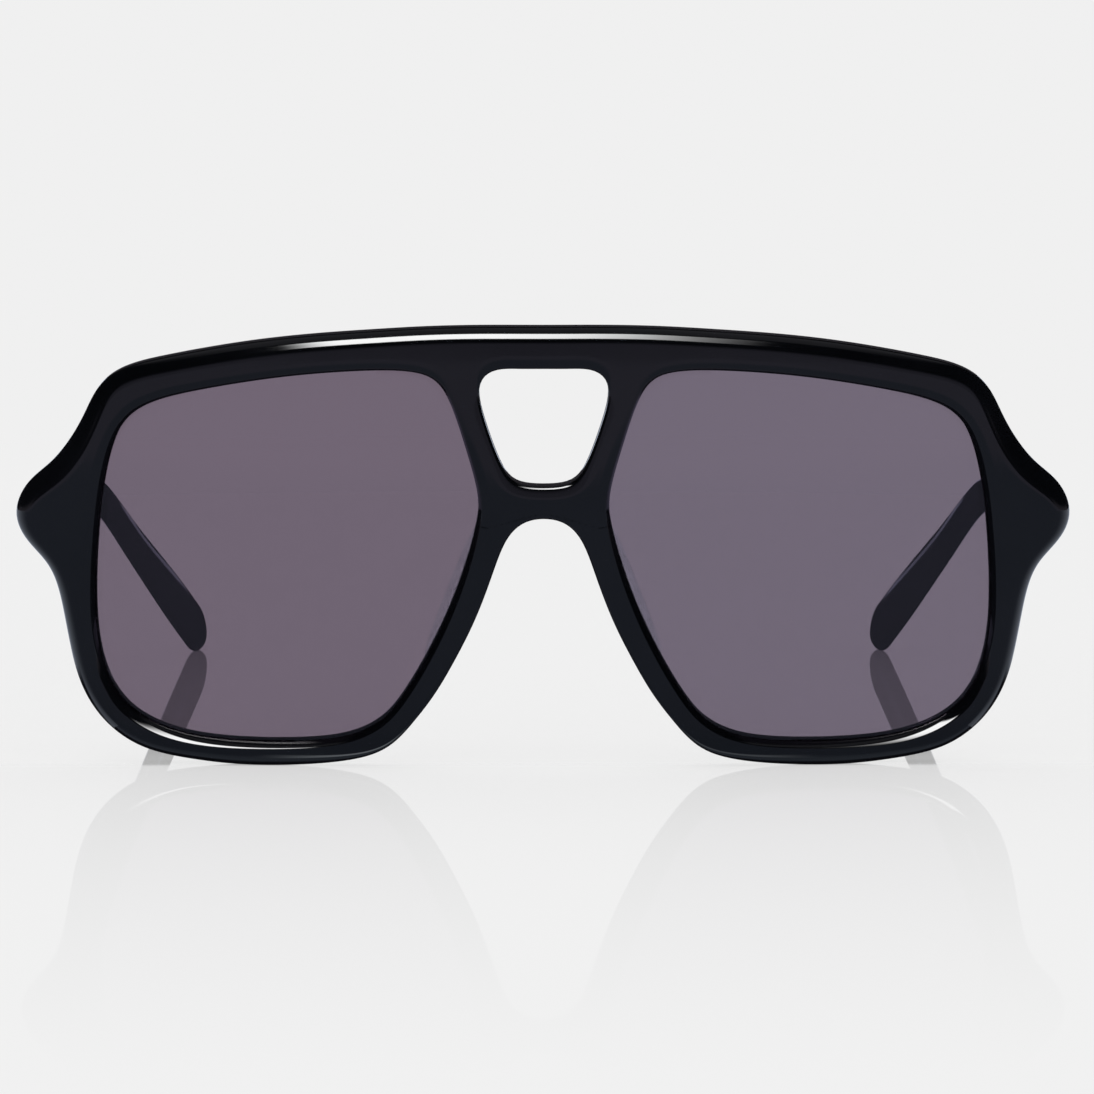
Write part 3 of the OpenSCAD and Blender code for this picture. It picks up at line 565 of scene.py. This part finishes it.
s = np.concatenate([[0.02, 0.08, 0.2, 0.35], np.linspace(0.6, TEMPLE_LEN - tip_r, 200),
                    TEMPLE_LEN - tip_r + tip_r * np.sin(np.radians(np.linspace(3, 90, 26)))])
shrink = np.interp(s, [0, 0.08, 0.2, 0.35, 0.6], [BUTT_EDGE, 0.18, 0.08, 0.02, 0])
body = temple_sheet(s, shrink)
edge_ring = to_butt(temple_sheet(np.zeros(1), np.full(1, BUTT_EDGE)))[0]
# The mouth of the core wire's slot in the butt, a rectangle in polar form, and its foot at the wire
a = np.linspace(0, 2 * np.pi, SIDES, endpoint=False)
reach = 1 / np.maximum(np.abs(np.cos(a)) / (CORE_T / 2 + CORE_FIT),
                       np.abs(np.sin(a)) / (CORE_W / 2 + CORE_FIT))
slot_ring = to_butt(butt + (reach * np.cos(a))[:, None] * across[0]
                    + (reach * np.sin(a))[:, None] * upward[0])
slot_foot = slot_ring + CORE_FROM * ahead[0]
foot_middle = np.broadcast_to(slot_foot.mean(0), slot_foot.shape)
temple_half = [(np.concatenate([np.stack([foot_middle, slot_foot, slot_ring, edge_ring]), body]),
                True)]
temple_acetate = acetate("black acetate, tumbled and bent", (0.0012, 0.0014, 0.0020),
                         (0.0021, 0.0023, 0.0032), 0.055)
for side, sheets in (("left", temple_half), ("right", mirrored(temple_half))):
    temple = closed_mesh(side + "_temple_bent", sheets, 50)
    temple.data.materials.append(temple_acetate)
    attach(temple, side + "_arm")
    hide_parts(side + "_temple")

# --- The hinges, their screws and the core wires ------------------------------------------------
# Five-barrel hinges of nickel silver: a leaf with three barrels is heated and sunk into the front,
# one with two into the temple, and a slotted steel screw joins them. Their edges are eased. A core
# wire of the same metal lies inside each temple.
LEAF_EASED, SCREW_EASED = 0.09, 0.06


def plated(name, colour, dull, rough):
    """Bright metal, brushed a little along the table's X, with dull patches where fingers reach."""
    material, flow = blank_material(name)
    brushed = grain(flow, 0.0002, 2, (0.15, 1, 1))
    haze = grain(flow, 0.003, 2).step(0.4, 0.75)
    bump = flow.node("ShaderNodeBump", {}, {
        "Height": brushed, "Strength": 0.3, "Distance": 0.00001})
    skin = flow.node("ShaderNodeBsdfPrincipled", {}, {
        "Base Color": haze.blend(colour, dull), "Metallic": 1.0,
        "Roughness": rough + 0.12 * haze + 0.08 * brushed, "Normal": bump})
    flow.node("ShaderNodeOutputMaterial", {}, {"Surface": skin})
    return material


hinge_metal = plated("nickel silver, tumbled", (0.66, 0.64, 0.60), (0.50, 0.48, 0.44), 0.2)
screw_metal = plated("steel, turned", (0.56, 0.56, 0.57), (0.42, 0.42, 0.43), 0.16)
core_metal = plated("nickel silver, drawn", (0.60, 0.58, 0.54), (0.46, 0.44, 0.40), 0.3)
for node, body, slot, metal, ease_mm in (
        ("left_front_hinge", "front", "hinge", hinge_metal, LEAF_EASED),
        ("right_front_hinge", "front", "hinge", hinge_metal, LEAF_EASED),
        ("left_temple_hinge", "left_arm", "hinge", hinge_metal, LEAF_EASED),
        ("right_temple_hinge", "right_arm", "hinge", hinge_metal, LEAF_EASED),
        ("left_hinge_screw", "front", "screw", screw_metal, SCREW_EASED),
        ("right_hinge_screw", "front", "screw", screw_metal, SCREW_EASED)):
    form = bmesh.new()
    form.from_mesh(frame["nodes"][node].data)
    bmesh.ops.remove_doubles(form, verts=form.verts, dist=1e-6)
    bmesh.ops.dissolve_limit(form, angle_limit=math.radians(1), verts=form.verts, edges=form.edges)
    bmesh.ops.recalc_face_normals(form, faces=form.faces)
    mesh = bpy.data.meshes.new(node + "_eased")
    form.to_mesh(mesh)
    form.free()
    mesh.polygons.foreach_set("use_smooth", np.ones(len(mesh.polygons), bool))
    mesh.set_sharp_from_angle(angle=math.radians(35))
    mesh.materials.append(metal)
    piece = bpy.data.objects.new(node + "_eased", mesh)
    bpy.context.scene.collection.objects.link(piece)
    bevel = piece.modifiers.new("eased edges", "BEVEL")
    bevel.width, bevel.segments, bevel.limit_method = ease_mm / 1000, 2, "ANGLE"
    bevel.angle_limit, bevel.use_clamp_overlap = math.radians(40), True
    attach(piece, body)
    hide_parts(node)
for node in ("left_core_wire", "right_core_wire"):
    frame["nodes"][node].data.materials.clear()
    frame["nodes"][node].data.materials.append(core_metal)

# --- The table ----------------------------------------------------------------------------------
# A glossy white table top that shows a sharp mirror image behind the rims and a faint one in front,
# and runs off into the pale backdrop. In the gloss of the sunglasses it shows painted light and
# shade
# instead: painted dark, like the unlit side of a studio, with painted glints and a painted bright
# patch.
# Most of its white is its own light, so it keeps only a faint shadow.
PAPER, TABLE, OWN_LIGHT, MIRROR_MOST = 0.871, 0.879, 0.78, 0.9
material, flow = blank_material("white table top")
path_light = flow.tree.nodes.new("ShaderNodeLightPath")
is_glossy = Flow(flow.tree, path_light.outputs["Is Glossy Ray"])
is_mirror = Flow(flow.tree, path_light.outputs["Is Singular Ray"])
spot = flow.node("ShaderNodeTexCoord", output="Object")
spot_x = flow.node("ShaderNodeSeparateXYZ", {}, {"Vector": spot}, "X")
spot_y = flow.node("ShaderNodeSeparateXYZ", {}, {"Vector": spot}, "Y")
away = flow.math("SQRT", spot_x * spot_x + spot_y * spot_y)
# White paint under a mirror whose share grows with the power 5 of facing, as on any polished sheet.
# In front of the rims it is fainter and dies out towards the camera
facing = flow.node("ShaderNodeLayerWeight", {}, {"Blend": 0.5}, "Facing")
behind = spot_y.step(-0.0695, -0.0665)
full = 0.9 + 0.4 * spot_y.step(-0.0665, -0.035)
faint = spot_y.rise(-0.28, -0.068, 0.31)
mirror_share = facing ** 5 * (behind * full + (1 - behind) * faint) * away.step(0.5, 0.3)
paint = flow.node("ShaderNodeBsdfDiffuse", {}, {"Color": (TABLE, TABLE, TABLE, 1)})
glow = flow.node("ShaderNodeEmission", {}, {"Color": (TABLE, TABLE, TABLE, 1), "Strength": 1.0})
paint = flow.node("ShaderNodeMixShader", {}, {"Fac": OWN_LIGHT, 1: paint, 2: glow})
polish = flow.node("ShaderNodeBsdfAnisotropic", {}, {"Color": (1, 1, 1, 1), "Roughness": 0.0})
top = flow.node("ShaderNodeMixShader", {}, {
    "Fac": flow.math("MINIMUM", mirror_share, MIRROR_MOST), 1: paint, 2: polish})
haze = flow.node("ShaderNodeEmission", {}, {"Color": (PAPER, PAPER, PAPER, 1), "Strength": 1.0})
top = flow.node("ShaderNodeMixShader", {}, {"Fac": away.step(0.3, 0.6), 1: top, 2: haze})
# What the gloss of the sunglasses sees of it is painted light and shade, by the distance from the
# curved line on which the rims stand: painted dusk that pales far out in front and again at the
# line, painted black shade past it, and two painted glints
FOOT_Y, FOOT_BOW = 0.072, 0.6
foot_line = spot_y + FOOT_Y - spot_x * spot_x / FOOT_BOW
painted_gloss_tone = flow.node("ShaderNodeValToRGB", {"stops": [
    (0.0, (0.22, 0.25, 0.335)), (0.5, (0.20, 0.225, 0.30)), (0.7, (0.17, 0.20, 0.27)),
    (0.84, (0.17, 0.20, 0.27)), (0.89, (0.30, 0.35, 0.44)), (0.935, (0.33, 0.38, 0.48)),
    (0.95, (0.02, 0.02, 0.025))]}, {"Fac": foot_line.rise(-0.03, 0.002)})
# The glints are painted highlights: two strips of the table glow bright for the gloss alone, and
# the lower rims' edges show them as highlight lines
painted_glint = foot_line.step(-0.0034, -0.0029) * foot_line.step(-0.0012, -0.0018)
painted_glint = painted_glint * (spot_x.step(-0.043, -0.028) * spot_x.step(-0.015, -0.022)
                 + 0.4 * spot_x.step(0.041, 0.030) * spot_x.step(0.015, 0.022))
painted_gloss_tone = spot_y.step(-0.30, -0.40).blend(painted_gloss_tone, (0.335, 0.325, 0.43))
painted_gloss_tone = painted_glint.blend(painted_gloss_tone, (2.2, 2.4, 2.6))
# Beside the end pieces it is seen bright, which is painted light, by the angle round a point under
# each of them in degrees
out_x, out_y = flow.math("ABSOLUTE", spot_x) - 0.066, -0.068 - spot_y
beside = (flow.math("ARCTAN2", out_x, out_y) * (180 / math.pi)).step(60, 108)
beside = beside * flow.math("MAXIMUM", spot_y.step(-0.058, -0.064), out_x.step(0.02, 0.04))
# Painted light and shade: an emission that only the gloss of the sunglasses sees, which paints
# their dark reflections, their highlights and the light beside the end pieces
painted_table_gloss = flow.node("ShaderNodeEmission", {}, {
    "Color": beside.blend(painted_gloss_tone, (0.74, 0.82, 0.98)), "Strength": 1.0})
top = flow.node("ShaderNodeMixShader", {}, {
    "Fac": is_glossy * (1 - is_mirror), 1: top, 2: painted_table_gloss})
flow.node("ShaderNodeOutputMaterial", {}, {"Surface": top})
TABLE_R, BELOW, TABLE_SIDES = 3, -3e-5, 96
turns = np.linspace(0, 2 * np.pi, TABLE_SIDES, endpoint=False)
round_edge = np.column_stack([TABLE_R * np.cos(turns), TABLE_R * np.sin(turns),
                              np.full(TABLE_SIDES, BELOW)])
disc = bpy.data.meshes.new("table")
disc.from_pydata(round_edge.tolist(), [], [list(range(TABLE_SIDES))])
table = bpy.data.objects.new("table", disc)
bpy.context.scene.collection.objects.link(table)
disc.materials.append(material)

# --- The studio ---------------------------------------------------------------------------------
# Even pale light from all round and a pale backdrop. Polished surfaces see the room instead: dim in
# front, dimmer walls at the sides, the backdrop low behind, and one softbox, high in front and a
# little to the wearer's right, which draws the line along the brow and fades out to the left.
SOFTBOX = 24.5
world = bpy.data.worlds.new("studio")
bpy.context.scene.world = world
world.use_nodes = True
world.node_tree.nodes.clear()
flow = Flow(world.node_tree)
path_light = flow.tree.nodes.new("ShaderNodeLightPath")
ray = {kind: Flow(flow.tree, path_light.outputs[f"Is {kind} Ray"])
       for kind in ("Camera", "Glossy", "Transmission", "Singular")}
way = flow.node("ShaderNodeTexCoord", output="Generated")
east, north, up = (flow.node("ShaderNodeSeparateXYZ", {}, {"Vector": way}, k) for k in "XYZ")
# Degrees over the horizon in front, going on overhead to the back, and degrees round from the front
wide = flow.math("ABSOLUTE", east)
height = flow.math("ARCTAN2", up, -1 * north) * (180 / math.pi)
aside_of = flow.math("ARCTAN2", wide, -1 * north) * (180 / math.pi)
room = aside_of.step(36, 42).blend((0.25, 0.24, 0.32), (0.02, 0.02, 0.025))
side_wall = aside_of.step(48, 56) * aside_of.step(118, 108) * up.step(0.12, 0.0)
room = side_wall.blend(room, (0.24, 0.22, 0.26))
room = up.step(0.30, 0.04).blend((0.008, 0.008, 0.009), room)
backdrop = aside_of.step(160, 168) * up.step(0.5, 0.3)
room = backdrop.blend(room, (0.04, 0.037, 0.043))
ceiling = height.step(68, 76) * height.step(135, 120) * wide.step(0.5, 0.35)
room = ceiling.blend(room, (0.2, 0.2, 0.22))
softbox = height.step(33, 37) * height.step(67, 63)
softbox = softbox * east.step(-0.335, -0.25) * east.step(0.30, -0.06)
room = softbox.blend(room, (SOFTBOX, SOFTBOX, SOFTBOX))
plain = flow.math("MAXIMUM", ray["Transmission"], ray["Singular"])
plain = flow.math("MAXIMUM", ray["Camera"], plain)
even = plain.blend((1.0, 1.0, 1.0), (PAPER, PAPER, PAPER))
light = flow.node("ShaderNodeBackground", {}, {
    "Color": (ray["Glossy"] * (1 - plain)).blend(even, room), "Strength": 1.0})
flow.node("ShaderNodeOutputWorld", {}, {"Surface": light})
world.cycles.sampling_method = "NONE"

# --- The camera ---------------------------------------------------------------------------------
# Straight in front and a little above, 650 mm from the rims, with a long lens. It stands a hair to
# the wearer's right, so the temple tips show a few pixels off the middle.
PHOTO_PX, FOCAL_PX, CENTRE_PX, SENSOR = 1094, 4592, 3.5, 36.0
CAMERA_FAR, CAMERA_Y, CAMERA_Z, LOOK_DOWN = 0.65, -0.7178, 0.0927, 5.405
aside = math.radians(0.35)
camera = bpy.data.objects.new("camera", bpy.data.cameras.new("camera"))
bpy.context.scene.collection.objects.link(camera)
camera.data.sensor_width, camera.data.lens = SENSOR, FOCAL_PX / PHOTO_PX * SENSOR
camera.location = (-CAMERA_FAR * math.tan(aside), CAMERA_Y, CAMERA_Z)
camera.rotation_euler = (math.radians(90 - LOOK_DOWN), 0, -aside - CENTRE_PX / FOCAL_PX)
camera.data.clip_start, camera.data.clip_end = 0.01, 20
bpy.context.scene.camera = camera
bpy.context.scene.view_settings.view_transform = "Standard"
